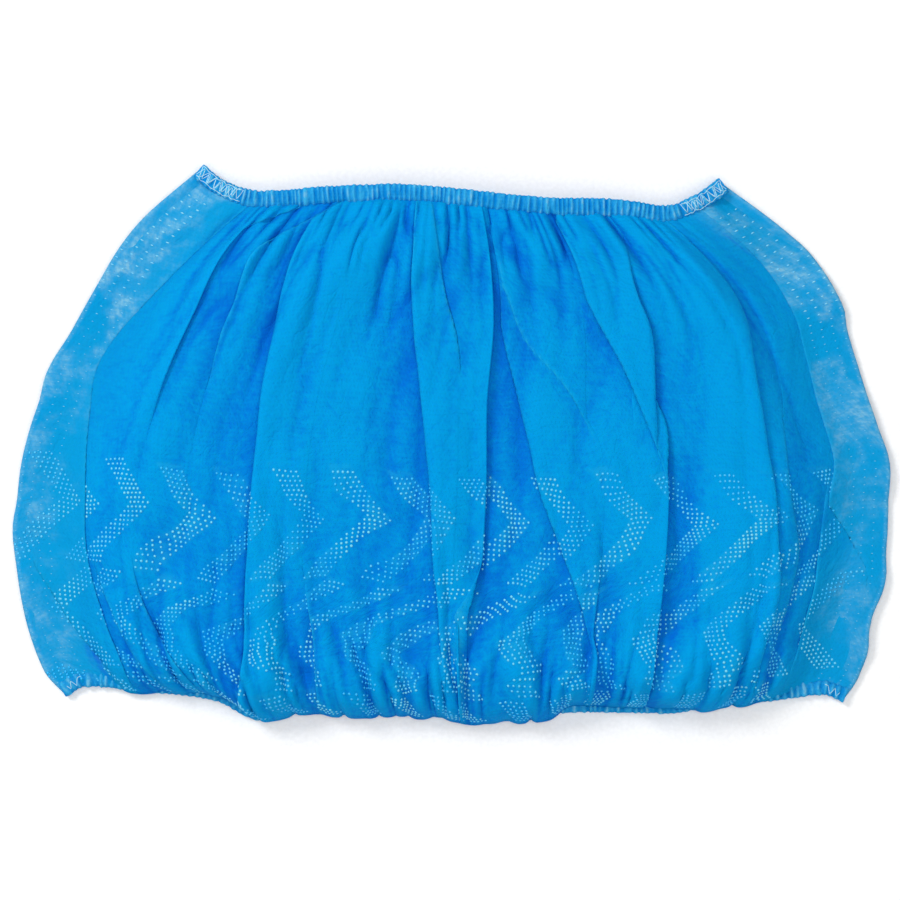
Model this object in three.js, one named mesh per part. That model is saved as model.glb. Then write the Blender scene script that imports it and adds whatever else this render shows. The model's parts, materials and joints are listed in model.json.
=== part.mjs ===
// A disposable overshoe of thin non-woven cloth, lying flat with its mouth towards +Y.
// One sheet is folded along the sole, welded shut along both ends, and drawn together by three
// covered elastics: one along each lip of the mouth and one along the sole fold.
// Millimetres, +Z up. X runs from the left end weld to the right one, Y from the sole to the mouth.
import * as THREE from 'three';
import { ParametricGeometry } from 'three/addons/geometries/ParametricGeometry.js';

// ---- Driving dimensions -------------------------------------------------------------------

const laidHeight = 155.5; // from the lowest bulge of the sole to the tip of the left corner; 244 wide
const clothWall = 1.2; // a walled stand-in for the thin cloth
const weldWidth = 9; // the flat strip where both layers are welded together
const weldThickness = 1.6;
const weldShoulder = 22; // how far the cloth takes to rise from the weld to its full height
const bellyHeight = 11.5; // how high the upper layer stands over the weld
const footRadius = 13; // the roll of the upper layer down to the sole fold
const cornerLift = 2; // the end welds leave the surface a little at the mouth
const cornerLiftFrom = 0.8; // share of the way up where they start to
const mouthBlendFrom = 0.72; // share of the way up where the cloth starts to flatten to the mouth

const openingBandWidth = 4.6;
const soleBandWidth = 4.2;
const bandThickness = 2.2;
const pieceGap = 0.5; // between neighbouring pieces
const mouthEndHeight = 3.7; // centre line of the upper elastic at its two ends
const mouthArch = 7.6; // and how far it arches up between them

const openingGathers = 38;
const soleGathers = 50;
const gatherHeight = 0.5; // how far a gather of the covered elastic stands up
const gatherScallop = 0.35; // and how far it stands out of the edge

const underFolds = 7; // shallow folds of the lower layer, raised into the pouch
const underFoldHeight = 1.6;
const underFoldFrom = 0.5; // a fold is where a cosine across the layer exceeds this

const clothColumns = 56; // across one layer
const clothRows = 15; // from the sole to the mouth
const rowsInAll = 2 * clothRows + 1;

// ---- Outline ------------------------------------------------------------------------------
// Both ends of the pouch, at shares of the way from the sole to the mouth.

const ends = [
  { at: 0.0, leftX: -106.4, leftY: -71.7, rightX: 108.3, rightY: -73.3 },
  { at: 0.05, leftX: -113.3, leftY: -64.2, rightX: 113.3, rightY: -65.9 },
  { at: 0.15, leftX: -118.9, leftY: -49.3, rightX: 117.5, rightY: -51.2 },
  { at: 0.3, leftX: -122.0, leftY: -26.8, rightX: 121.3, rightY: -29.3 },
  { at: 0.45, leftX: -120.3, leftY: -4.4, rightX: 121.8, rightY: -7.2 },
  { at: 0.6, leftX: -112.5, leftY: 18.0, rightX: 115.5, rightY: 14.9 },
  { at: 0.75, leftX: -100.6, leftY: 40.4, rightX: 108.6, rightY: 36.8 },
  { at: 0.88, leftX: -87.9, leftY: 59.8, rightX: 95.6, rightY: 55.9 },
  { at: 1.0, leftX: -67.4, leftY: 77.7, rightX: 72.6, rightY: 73.6 },
];

// The mouth and the sole, at shares of the way from the left end to the right one.
const mouth = [
  { at: 0.0, x: -67.4, y: 77.7 },
  { at: 0.04, x: -62.0, y: 73.0 },
  { at: 0.1, x: -53.6, y: 69.5 },
  { at: 0.2, x: -39.7, y: 69.6 },
  { at: 0.35, x: -18.4, y: 70.6 },
  { at: 0.5, x: 2.4, y: 69.5 },
  { at: 0.65, x: 23.7, y: 66.9 },
  { at: 0.8, x: 44.7, y: 66.5 },
  { at: 0.89, x: 57.7, y: 65.3 },
  { at: 0.95, x: 66.0, y: 68.4 },
  { at: 1.0, x: 72.6, y: 73.6 },
];

const sole = [
  { at: 0.0, x: -106.4, y: -71.7 },
  { at: 0.03, x: -100.6, y: -68.6 },
  { at: 0.1, x: -84.8, y: -69.7 },
  { at: 0.2, x: -63.5, y: -72.8 },
  { at: 0.25, x: -52.7, y: -77.6 },
  { at: 0.3, x: -41.9, y: -75.6 },
  { at: 0.42, x: -16.2, y: -75.9 },
  { at: 0.55, x: 11.8, y: -77.6 },
  { at: 0.66, x: 35.3, y: -75.3 },
  { at: 0.78, x: 60.0, y: -76.0 },
  { at: 0.82, x: 69.0, y: -74.4 },
  { at: 0.9, x: 86.8, y: -72.2 },
  { at: 0.97, x: 102.0, y: -70.9 },
  { at: 1.0, x: 108.3, y: -73.3 },
];

// Main folds of the upper layer. Each has a steep edge that runs down the cloth, and slopes gently
// away on its body side: +1 where the fold's body lies to the right of the edge, -1 to the left.
const folds = [
  { name: 'left end lap', body: -1, lift: 3.0, topX: -56, topY: 65, midX: -97, midY: 21, lowX: -99, lowY: -38 },
  { name: 'left shoulder', body: -1, lift: 1.6, topX: -46, topY: 63, midX: -71, midY: 43, lowX: -81, lowY: 26 },
  { name: 'broad left flap', body: 1, lift: 3.4, topX: -38, topY: 63, midX: -52, midY: 15, lowX: -58, lowY: -70 },
  { name: 'centre flap', body: 1, lift: 3.2, topX: -11, topY: 65, midX: -9, midY: 11, lowX: -5, lowY: -44 },
  { name: 'centre flap back', body: -1, lift: 3.2, topX: 1, topY: 64, midX: 8, midY: 20, lowX: 1, lowY: -43 },
  { name: 'right of centre', body: 1, lift: 2.8, topX: 9, topY: 48, midX: 20, midY: 0, lowX: 34, lowY: -43 },
  { name: 'right flap', body: 1, lift: 3.0, topX: 28, topY: 60, midX: 40, midY: 30, lowX: 54, lowY: 8 },
  { name: 'right flap back', body: -1, lift: 3.6, topX: 56, topY: 36, midX: 56, midY: -15, lowX: 41, lowY: -69 },
  { name: 'right shoulder', body: -1, lift: 3.2, topX: 56, topY: 63, midX: 84, midY: 22, lowX: 90, lowY: -45 },
  { name: 'right end lap', body: 1, lift: 2.4, topX: 72, topY: 56, midX: 92, midY: 16, lowX: 110, lowY: -28 },
];
const foldSteepness = 2.6; // half width of a fold's steep side
const foldTail = 13; // length of its gentle side
const foldFade = 26; // each fold fades in and out over this length of its edge

// ---- Interpolation ------------------------------------------------------------------------

const { clamp, lerp, smoothstep } = THREE.MathUtils;

// A smooth curve through a table's rows: a cubic Hermite through the values of one column.
function through(table, column, at) {
  let i = 0;
  while (i < table.length - 2 && at > table[i + 1].at) i++;
  const slopeAt = (k) => {
    const before = table[Math.max(k - 1, 0)];
    const after = table[Math.min(k + 1, table.length - 1)];
    return (after[column] - before[column]) / (after.at - before.at);
  };
  const [a, b] = [table[i], table[i + 1]];
  const span = b.at - a.at;
  const t = (at - a.at) / span;
  const t2 = t * t;
  const t3 = t2 * t;
  return (
    (2 * t3 - 3 * t2 + 1) * a[column] +
    (t3 - 2 * t2 + t) * span * slopeAt(i) +
    (3 * t2 - 2 * t3) * b[column] +
    (t3 - t2) * span * slopeAt(i + 1)
  );
}

// The laid plan: a point across (0 left, 1 right) and up (0 sole, 1 mouth), as a Coons patch.
function plan(across, up) {
  const blend = (axis, leftColumn, rightColumn) => {
    const first = ends[0];
    const last = ends[ends.length - 1];
    const sideways =
      (1 - across) * through(ends, leftColumn, up) + across * through(ends, rightColumn, up);
    const upwards = (1 - up) * through(sole, axis, across) + up * through(mouth, axis, across);
    const corners =
      (1 - up) * ((1 - across) * first[leftColumn] + across * first[rightColumn]) +
      up * ((1 - across) * last[leftColumn] + across * last[rightColumn]);
    return sideways + upwards - corners;
  };
  return { x: blend('x', 'leftX', 'rightX'), y: blend('y', 'leftY', 'rightY') };
}

const rowWidth = (up) => through(ends, 'rightX', up) - through(ends, 'leftX', up);
const clothHeight = laidHeight - 10; // the plan's height between sole and mouth away from its corners
const soleRim = (soleBandWidth + pieceGap) / clothHeight; // the cloth starts here
const mouthRim = 1 - (openingBandWidth + pieceGap) / clothHeight; // and ends here

// ---- Heights ------------------------------------------------------------------------------

// X of a fold's edge at height y: a parabola through its three points.
function edgeX(fold, y) {
  const term = (y0, x0, y1, y2) => (x0 * (y - y1) * (y - y2)) / ((y0 - y1) * (y0 - y2));
  return (
    term(fold.topY, fold.topX, fold.midY, fold.lowY) +
    term(fold.midY, fold.midX, fold.topY, fold.lowY) +
    term(fold.lowY, fold.lowX, fold.topY, fold.midY)
  );
}

function foldHeight({ x, y }) {
  let height = 0;
  for (const fold of folds) {
    const present =
      smoothstep(y, fold.lowY - foldFade, fold.lowY) * (1 - smoothstep(y, fold.topY, fold.topY + foldFade));
    const insideBody = (x - edgeX(fold, y)) * fold.body;
    const steepSide = smoothstep(insideBody, -foldSteepness, foldSteepness);
    const gentleSide = Math.exp(-((Math.max(insideBody, 0) / foldTail) ** 2));
    height += fold.lift * present * steepSide * gentleSide;
  }
  return height;
}

// Height of the upper elastic's centre line.
const archAt = (across) => mouthEndHeight + mouthArch * Math.sin(Math.PI * clamp(across, 0, 1)) ** 0.7;

// How much the weld at the nearer end is lifted off the surface.
const liftAt = (up) => cornerLift * smoothstep(up, cornerLiftFrom, 1);

function upperHeight(across, up) {
  const fromEnd = Math.min(across, 1 - across) * rowWidth(up);
  const fromSole = (up - soleRim) * clothHeight;
  const shoulder = smoothstep(fromEnd, weldWidth, weldWidth + weldShoulder);
  const roll = Math.sqrt(1 - (1 - clamp(fromSole / footRadius, 0, 1)) ** 2);
  const nearMouth = smoothstep(up, mouthBlendFrom, mouthRim);
  const body = (bellyHeight + foldHeight(plan(across, up)) * (1 - 0.6 * nearMouth)) * shoulder * roll;
  const atMouth = archAt(across) + clothWall / 2;
  const atWeld = weldThickness + liftAt(up);
  return lerp(atWeld + body, Math.max(atMouth, atWeld), nearMouth * smoothstep(fromEnd, 0, weldWidth));
}

function lowerHeight(across, up) {
  const fromEnd = Math.min(across, 1 - across) * rowWidth(up);
  const ridge = smoothstep(Math.cos(2 * Math.PI * underFolds * across), underFoldFrom, 1);
  const away = smoothstep(up, soleRim, 0.15) * (1 - smoothstep(up, 0.85, mouthRim));
  const inside = smoothstep(fromEnd, weldWidth, weldWidth + weldShoulder);
  return underFoldHeight * ridge * away * inside + liftAt(up) * (1 - smoothstep(fromEnd, 0, weldWidth));
}

// ---- The cloth pouch ----------------------------------------------------------------------
// A closed loop runs round both layers at each height. The loops go up the outside from the sole
// fold to the mouth, over the rim, and down the inside again to the inner fold.

const cavityFromEnd = 12.5; // the hollow starts this far in from an end
const cavityFromSole = 3.4; // and this far above the sole rim
const rimChamfer = 1.5; // its own rim lies this far below the outer one

function pouchPoint(u, v, target) {
  const row = v * rowsInAll;
  const outside = row <= clothRows + 0.5;
  const climb = outside ? row / clothRows : (rowsInAll - row) / clothRows;
  const onUpper = u <= 0.5;
  const share = onUpper ? 2 * u : 2 - 2 * u;
  if (outside) {
    const up = lerp(soleRim, mouthRim, Math.min(climb, 1));
    const { x, y } = plan(share, up);
    const [top, bottom] = [upperHeight(share, up), lowerHeight(share, up)];
    const closed = share <= 0 || share >= 1 || climb <= 0;
    target.set(x, y, closed ? (top + bottom) / 2 : onUpper ? top : bottom);
    return;
  }
  const lowest = soleRim + cavityFromSole / clothHeight;
  const highest = mouthRim - rimChamfer / clothHeight;
  const up = lerp(lowest, highest, clamp(climb, 0, 1));
  const inset = cavityFromEnd / rowWidth(up);
  const across = lerp(inset, 1 - inset, share);
  const { x, y } = plan(across, up);
  const [top, bottom] = [upperHeight(across, up), lowerHeight(across, up)];
  const closed = share <= 0 || share >= 1 || climb <= 0;
  const halfGap = closed ? 0 : Math.max((top - bottom) / 2 - clothWall, 0.03);
  target.set(x, y, (top + bottom) / 2 + (onUpper ? halfGap : -halfGap));
}

// ---- Covered elastics ---------------------------------------------------------------------
// A band has six corners round its section, gathers that rise and fall along it, and pinched ends.

const section = [
  { across: -0.5, height: 0 },
  { across: -0.32, height: -0.5 },
  { across: 0.32, height: -0.5 },
  { across: 0.5, height: 0 },
  { across: 0.32, height: 0.5 },
  { across: -0.32, height: 0.5 },
];

// from and to: the shares of the way up that the band lies between. centre: its height at a share
// of the way across.
function bandPoint({ from, to, centre, gathers, endShare }) {
  return (u, v, target) => {
    const corner = section[Math.round(u * section.length) % section.length];
    const across = lerp(endShare, 1 - endShare, v);
    const pinched = v <= 0 || v >= 1;
    const wave = pinched ? 0 : Math.cos(2 * Math.PI * gathers * v);
    const width = (to - from) * clothHeight;
    const edgeOut = (gatherScallop * (wave - 1)) / width;
    const up = lerp(from, to, 0.5 + corner.across * (1 + edgeOut));
    const { x, y } = plan(across, up);
    const thickness = pinched ? 0 : bandThickness + (corner.height > 0 ? gatherHeight * wave : 0);
    target.set(x, y, centre(across) + corner.height * thickness);
  };
}

// ---- Assembly -----------------------------------------------------------------------------

const cloth = new THREE.MeshStandardMaterial({ color: 0x0a9fe6, roughness: 0.85, metalness: 0 });
const casing = new THREE.MeshStandardMaterial({ color: 0x2aaee8, roughness: 0.8, metalness: 0 });

function makePiece(name, pointAt, slices, stacks, material) {
  const piece = new THREE.Mesh(new ParametricGeometry(pointAt, slices, stacks), material);
  piece.name = name;
  return piece;
}

function makeBand(name, band) {
  return makePiece(name, bandPoint(band), section.length, 2 * band.gathers, casing);
}

const overshoe = new THREE.Group();
overshoe.name = 'overshoe';
overshoe.add(makePiece('pouch', pouchPoint, 2 * clothColumns, rowsInAll, cloth));
const mouthBand = {
  from: mouthRim + pieceGap / clothHeight,
  to: 1,
  gathers: openingGathers,
  endShare: 0.004,
};
const lowCentre = bandThickness / 2;
overshoe.add(makeBand('upper_opening_elastic', { ...mouthBand, centre: archAt }));
overshoe.add(makeBand('lower_opening_elastic', { ...mouthBand, centre: () => lowCentre }));
overshoe.add(
  makeBand('sole_elastic', {
    from: 0,
    to: soleRim - pieceGap / clothHeight,
    centre: () => lowCentre,
    gathers: soleGathers,
    endShare: 0.003,
  }),
);

export default overshoe;
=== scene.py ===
# %% [markdown]
# # A disposable shoe cover, lying flat
#
# The real cover is one thin sheet of spunbonded polypropylene, folded along the sole and welded at
# both ends. Three elastics gather it: one in each lip of the mouth, and one along the sole fold.
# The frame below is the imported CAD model. It says where the cover lies and how large it is, and this
# script gives it its cloth, pleats, tread dots, welds and threads.

import json

import bpy
import numpy as np
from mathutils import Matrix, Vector

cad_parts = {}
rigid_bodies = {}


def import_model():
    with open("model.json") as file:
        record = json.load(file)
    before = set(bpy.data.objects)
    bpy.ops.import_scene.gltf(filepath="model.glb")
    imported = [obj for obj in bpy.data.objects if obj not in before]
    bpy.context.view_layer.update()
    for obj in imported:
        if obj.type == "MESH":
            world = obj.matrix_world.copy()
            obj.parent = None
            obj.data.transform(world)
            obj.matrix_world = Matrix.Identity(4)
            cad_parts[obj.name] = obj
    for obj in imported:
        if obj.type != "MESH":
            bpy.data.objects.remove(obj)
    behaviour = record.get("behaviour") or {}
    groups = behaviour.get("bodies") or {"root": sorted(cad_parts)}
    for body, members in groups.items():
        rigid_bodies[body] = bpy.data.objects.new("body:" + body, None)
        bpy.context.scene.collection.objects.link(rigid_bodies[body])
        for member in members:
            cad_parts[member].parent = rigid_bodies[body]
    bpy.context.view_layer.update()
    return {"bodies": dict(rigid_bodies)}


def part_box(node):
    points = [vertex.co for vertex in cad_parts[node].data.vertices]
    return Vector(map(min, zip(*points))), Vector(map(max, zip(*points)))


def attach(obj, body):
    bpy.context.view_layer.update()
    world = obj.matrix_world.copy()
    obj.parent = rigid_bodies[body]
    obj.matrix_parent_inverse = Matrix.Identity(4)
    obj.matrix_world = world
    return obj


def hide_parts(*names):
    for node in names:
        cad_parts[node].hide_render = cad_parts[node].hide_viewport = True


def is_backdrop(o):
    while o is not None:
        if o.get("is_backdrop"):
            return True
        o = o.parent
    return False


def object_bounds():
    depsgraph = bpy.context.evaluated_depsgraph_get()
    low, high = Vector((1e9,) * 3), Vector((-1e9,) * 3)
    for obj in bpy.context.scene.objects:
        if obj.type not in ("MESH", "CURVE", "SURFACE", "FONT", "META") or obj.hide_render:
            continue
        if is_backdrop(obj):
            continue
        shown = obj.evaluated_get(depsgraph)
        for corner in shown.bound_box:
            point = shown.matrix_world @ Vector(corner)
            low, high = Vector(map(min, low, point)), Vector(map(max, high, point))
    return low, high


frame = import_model()
pouch_low, pouch_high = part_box("pouch")
LAID_WIDTH = 244.3  # the laid cover's width in the tables below, which are in millimetres
MM = (pouch_high.x - pouch_low.x) / LAID_WIDTH  # one of those millimetres, in metres
print(f"one millimetre of the tables is {MM:.6f} m")

# %% [markdown]
# ## Helpers for smooth shapes
#
# A table here has named columns, and a smooth curve runs through each of them. The ripples are a
# smooth random field on a lattice, with a fixed seed, so that the cover is the same in every run.


# %% Tables, curves and ripples
def columns(names, *rows):
    """A table with named columns, as a dict of arrays."""
    return dict(zip(names.split(), np.array(rows, float).T))


def rows_of(table):
    """The rows of such a table, as plain numbers."""
    return list(zip(*(values.tolist() for values in table.values())))


def smoothstep(x, low, high):
    t = np.clip((x - low) / (high - low), 0, 1)
    return t * t * (3 - 2 * t)


def through(table, column, at):
    """A cubic Hermite curve through a column's values, straight on beyond its ends."""
    xs, ys = table["at"], table[column]
    before = np.maximum(np.arange(len(xs)) - 1, 0)
    after = np.minimum(np.arange(len(xs)) + 1, len(xs) - 1)
    slope = (ys[after] - ys[before]) / (xs[after] - xs[before])
    inside = np.clip(at, xs[0], xs[-1])
    i = np.clip(np.searchsorted(xs, inside, side="right") - 1, 0, len(xs) - 2)
    span = xs[i + 1] - xs[i]
    t = (inside - xs[i]) / span
    curve = (
        (2 * t**3 - 3 * t**2 + 1) * ys[i]
        + (t**3 - 2 * t**2 + t) * span * slope[i]
        + (3 * t**2 - 2 * t**3) * ys[i + 1]
        + (t**3 - t**2) * span * slope[i + 1]
    )
    return curve + (at - inside) * np.where(at < xs[0], slope[0], slope[-1])


def ripple(u, v, seed):
    """A smooth random field from about -1 to 1, with one bump or dip for each unit of u and v."""
    lattice = np.random.default_rng(seed).uniform(-1, 1, (64, 512))
    u, v = np.broadcast_arrays(u, v)
    iu, iv = np.floor(u).astype(int), np.floor(v).astype(int)
    fu, fv = u - iu, v - iv
    fu, fv = fu**3 * (fu * (6 * fu - 15) + 10), fv**3 * (fv * (6 * fv - 15) + 10)

    def at(a, b):
        return lattice[(iv + b) % 64, (iu + a) % 512]

    low = at(0, 0) * (1 - fu) + at(1, 0) * fu
    high = at(0, 1) * (1 - fu) + at(1, 1) * fu
    return low * (1 - fv) + high * fv


# %% [markdown]
# ## The laid outline
#
# The outline is the CAD part's own: the two welded ends, the mouth and the sole, in millimetres. A
# Coons patch fills it, so that any point of the sheet has a place from two shares: how far across
# it is from the left end, and how far up from the sole.

# %% Outline
ENDS = columns(
    "at left_x left_y right_x right_y",
    (0.00, -106.4, -71.7, 108.3, -73.3),
    (0.05, -113.3, -64.2, 113.3, -65.9),
    (0.15, -118.9, -49.3, 117.5, -51.2),
    (0.30, -122.0, -26.8, 121.3, -29.3),
    (0.45, -120.3, -4.4, 121.8, -7.2),
    (0.60, -112.5, 18.0, 115.5, 14.9),
    (0.75, -100.6, 40.4, 108.6, 36.8),
    (0.88, -87.9, 59.8, 95.6, 55.9),
    (1.00, -67.4, 77.7, 72.6, 73.6),
)
MOUTH = columns(
    "at x y",
    (0.00, -67.4, 77.7),
    (0.04, -62.0, 73.0),
    (0.10, -53.6, 69.5),
    (0.20, -39.7, 69.6),
    (0.35, -18.4, 70.6),
    (0.50, 2.4, 69.5),
    (0.65, 23.7, 66.9),
    (0.80, 44.7, 66.5),
    (0.89, 57.7, 65.3),
    (0.95, 66.0, 68.4),
    (1.00, 72.6, 73.6),
)
SOLE = columns(
    "at x y",
    (0.00, -106.4, -71.7),
    (0.03, -100.6, -68.6),
    (0.10, -84.8, -69.7),
    (0.20, -63.5, -72.8),
    (0.25, -52.7, -77.6),
    (0.30, -41.9, -75.6),
    (0.42, -16.2, -75.9),
    (0.55, 11.8, -77.6),
    (0.66, 35.3, -75.3),
    (0.78, 60.0, -76.0),
    (0.82, 69.0, -74.4),
    (0.90, 86.8, -72.2),
    (0.97, 102.0, -70.9),
    (1.00, 108.3, -73.3),
)


def plan(across, up):
    """x and y of a point of the sheet, from its shares across and up."""

    def blend(axis):
        left, right = ENDS["left_" + axis], ENDS["right_" + axis]
        sides = (1 - across) * through(ENDS, "left_" + axis, up)
        sides = sides + across * through(ENDS, "right_" + axis, up)
        edges = (1 - up) * through(SOLE, axis, across) + up * through(MOUTH, axis, across)
        low = (1 - across) * left[0] + across * right[0]
        high = (1 - across) * left[-1] + across * right[-1]
        return sides + edges - (1 - up) * low - up * high

    return blend("x"), blend("y")


HEIGHT = 145.5  # from the sole to the mouth
LIP_WIDTH, SOLE_BAND_WIDTH = 4.6, 4.2
WELD_WIDTH = 9.0
CUT_WIDTH, CUT_HALF = 406.0, 165.0  # the sheet: its width, and from the sole fold to a lip
CLOTH_THICKNESS = 0.3
lip_share, sole_share = LIP_WIDTH / HEIGHT, SOLE_BAND_WIDTH / HEIGHT

# %% [markdown]
# ## Camera, floor and light
#
# The cover is looked at from straight above, as on a copy stand. The lens is long, so its low hump
# isn't seen in perspective. The floor is a near-white table, lit evenly by a wide overhead light,
# and a key light from the upper left brings out the pleats.

# %% Camera, floor and light
VIEW_WIDTH, VIEW_CENTRE, VIEW_HEIGHT = 249.1, (-0.4, -2.5), 6.0  # mm, at half the cover's height
LENS, SENSOR = 110.0, 36.0  # mm, of the camera
FLOOR_GAP = 0.0002  # m, so that the cloth and the table share no plane


def add_object(name, data):
    made = bpy.data.objects.new(name, data)
    bpy.context.collection.objects.link(made)
    return made


camera_data = bpy.data.cameras.new("camera")
camera_data.lens, camera_data.sensor_width = LENS, SENSOR
camera_data.clip_start, camera_data.clip_end = 0.01, 20
camera = add_object("camera", camera_data)
distance = VIEW_WIDTH * LENS / SENSOR * MM
camera.location = (VIEW_CENTRE[0] * MM, VIEW_CENTRE[1] * MM, distance + VIEW_HEIGHT * MM)
bpy.context.scene.camera = camera

bpy.ops.mesh.primitive_plane_add(size=6, location=(0, 0, -FLOOR_GAP))
floor = bpy.context.object
floor.name = "floor"
floor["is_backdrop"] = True


def area_light(name, location, size, watts):
    """A round soft light that faces the cover."""
    data = bpy.data.lights.new(name, "AREA")
    data.shape, data.size, data.energy = "DISK", size, watts
    light = add_object(name, data)
    light.location = location
    light.rotation_euler = (-Vector(location)).to_track_quat("-Z", "Y").to_euler()


area_light("key", (-0.75, 0.65, 0.95), size=0.45, watts=9.2)
area_light("overhead", (0.1, -0.2, 1.6), size=1.6, watts=11.5)
world = bpy.data.worlds.new("studio")
world.use_nodes = True
surround = world.node_tree.nodes["Background"].inputs
surround["Color"].default_value = (1, 1, 1, 1)
surround["Strength"].default_value = 0.52
bpy.context.scene.world = world
bpy.context.scene.view_settings.view_transform = "Standard"
print(f"camera {distance:.3f} m above the table")

# %% [markdown]
# ## Node trees from Python
#
# Materials and Geometry Nodes are both trees of nodes. `Nodes.node` adds any one of them, and a
# `Signal` is an output on its way to the next node: arithmetic on signals adds Math nodes.


# %% Node helpers
class Signal:
    """An output socket. Arithmetic with it adds Math nodes."""

    def __init__(self, nodes, socket):
        self.nodes, self.socket = nodes, socket

    def _math(self, operation, *values):
        inputs = dict(enumerate(values))
        return self.nodes.node("ShaderNodeMath", {"operation": operation}, inputs)

    def __add__(self, other):
        return self._math("ADD", self, other)

    def __sub__(self, other):
        return self._math("SUBTRACT", self, other)

    def __rsub__(self, other):
        return self._math("SUBTRACT", other, self)

    def __mul__(self, other):
        return self._math("MULTIPLY", self, other)

    def __truediv__(self, other):
        return self._math("DIVIDE", self, other)

    def __mod__(self, other):
        return self._math("FLOORED_MODULO", self, other)

    __radd__, __rmul__ = __add__, __mul__

    def floor(self):
        return self._math("FLOOR", self)

    def distance(self, other):
        return self._math("ABSOLUTE", self - other)

    def at_most(self, other):
        return self._math("MINIMUM", self, other)

    def step(self, low, high):
        """0 below low, 1 above high, and smooth between them."""
        inputs = {"Value": self, "From Min": low, "From Max": high}
        return self.nodes.node("ShaderNodeMapRange", {"interpolation_type": "SMOOTHSTEP"}, inputs)


class Nodes:
    """Adds nodes to one tree."""

    def __init__(self, tree):
        self.tree = tree

    def node(self, kind, settings=None, inputs=None, output=0):
        made = self.tree.nodes.new(kind)
        for name, value in (settings or {}).items():
            setattr(made, name, value)
        for key, value in (inputs or {}).items():
            self.plug(made, key, value)
        return Signal(self, made.outputs[output]) if len(made.outputs) else made

    def plug(self, made, key, value):
        """Gives a node's input a link or a plain value."""
        if isinstance(value, Signal):
            self.tree.links.new(value.socket, made.inputs[key])
        else:
            made.inputs[key].default_value = value

    def mix(self, factor, first, second):
        """A colour between two others."""
        return self.node("ShaderNodeMix", {"data_type": "RGBA"}, {0: factor, 6: first, 7: second}, 2)

    def vector(self, operation, *values):
        return self.node("ShaderNodeVectorMath", {"operation": operation}, dict(enumerate(values)))

    def scaled(self, vector, by):
        return self.node("ShaderNodeVectorMath", {"operation": "SCALE"}, {0: vector, "Scale": by})

    def along(self, vector, axis):
        return self.node("ShaderNodeSeparateXYZ", {}, {0: vector}, axis)

    def surface(self, shader):
        self.node("ShaderNodeOutputMaterial", {}, {"Surface": shader})

    def attribute(self, name):
        return self.node("ShaderNodeAttribute", {"attribute_name": name}, output="Fac")


def srgb(red, green, blue):
    """A colour given as it looks on a screen, 0 to 255, for a node's linear colour socket."""
    shown = (c / 255 for c in (red, green, blue))
    return (*(((c + 0.055) / 1.055) ** 2.4 if c > 0.04 else c / 12.92 for c in shown), 1)


def new_material(name):
    material = bpy.data.materials.new(name)
    material.use_nodes = True
    material.node_tree.nodes.clear()
    return material, Nodes(material.node_tree)


# %% [markdown]
# ## The printed tread
#
# The sole is printed in rows of chevrons, as heights from the sole fold in millimetres of the flat
# sheet. `toward` is 1 where the chevron's tip points right. The cloth is a little paler where it is
# printed, and the dots themselves come later.

# %% Tread pattern
CHEVRONS = columns(
    "low high tip toward start",
    (45.2, 75.0, 62.0, 1, 13.5),
    (14.6, 44.0, 30.0, -1, 8.0),
    (4.6, 13.4, -2.0, 1, 13.5),
)
CHEVRON_PITCH, DOT_SPACING, ROW_SPACING, DOTS_WIDE = 18.5, 1.55, 1.3, 5


def tread_print(x, y):
    """1 inside the printed chevrons of the flat sheet, and 0 between them."""
    printed, half = 0, (DOTS_WIDE - 1) * DOT_SPACING / 2
    soft = 1.4  # mm over which the print fades at its edge
    for low, high, tip, toward, start in rows_of(CHEVRONS):
        across = (x - start + half + y.distance(tip) * toward) % CHEVRON_PITCH
        inside = 1 - across.distance(2 * half).step(half, half + soft)
        printed = printed + inside * y.step(low - soft, low) * (1 - y.step(high, high + soft))
    return printed


# %% [markdown]
# ## The cloth's finish
#
# Spunbond is a felt of endless filaments, pressed together at a grid of tiny bond points. One layer
# lets some light through, so stacked layers look deeper in colour. The sheet's UV map is the flat
# cut, with one unit for 406 mm, so the bond points follow the cloth into its folds. The `lift`
# attribute is painted light and shade. It is low in the valleys between pleats, in creases and where
# layers stack, so the cloth is painted darker there. It is high on top of the pleats, where the cloth
# is painted lighter. A second attribute paints a highlight along the turned edge of a pleat.

# %% Cloth material
# The bright and the deep cloth colours are the lit and the painted-shade ends of one blue. The deep one is
# also the cloth's deeper random tone.
CLOTH_BRIGHT, CLOTH_DEEP_AND_SHADED = srgb(0, 176, 240), srgb(0, 125, 229)
# The end colour is painted light. The tread colour is the print's colour, and is also used as a painted
# highlight on pleat rims.
CLOTH_PALE, END_PAINTED_LIGHT, TREAD_TINT_AND_HIGHLIGHT = srgb(140, 212, 240), srgb(8, 174, 232), srgb(50, 200, 238)
BOND_PITCH = 1.25  # mm between bond points


def fabric_place(nodes):
    """x along the sole and y from the sole fold, in millimetres of the flat sheet."""
    return nodes.scaled(nodes.node("ShaderNodeUVMap", {"uv_map": "fabric"}), CUT_WIDTH)


def noise(nodes, place, scale, detail=3.0, stretch=(1, 1, 1)):
    inputs = {"Vector": nodes.vector("MULTIPLY", place, stretch), "Scale": scale, "Detail": detail}
    return nodes.node("ShaderNodeTexNoise", {}, inputs)


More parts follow.
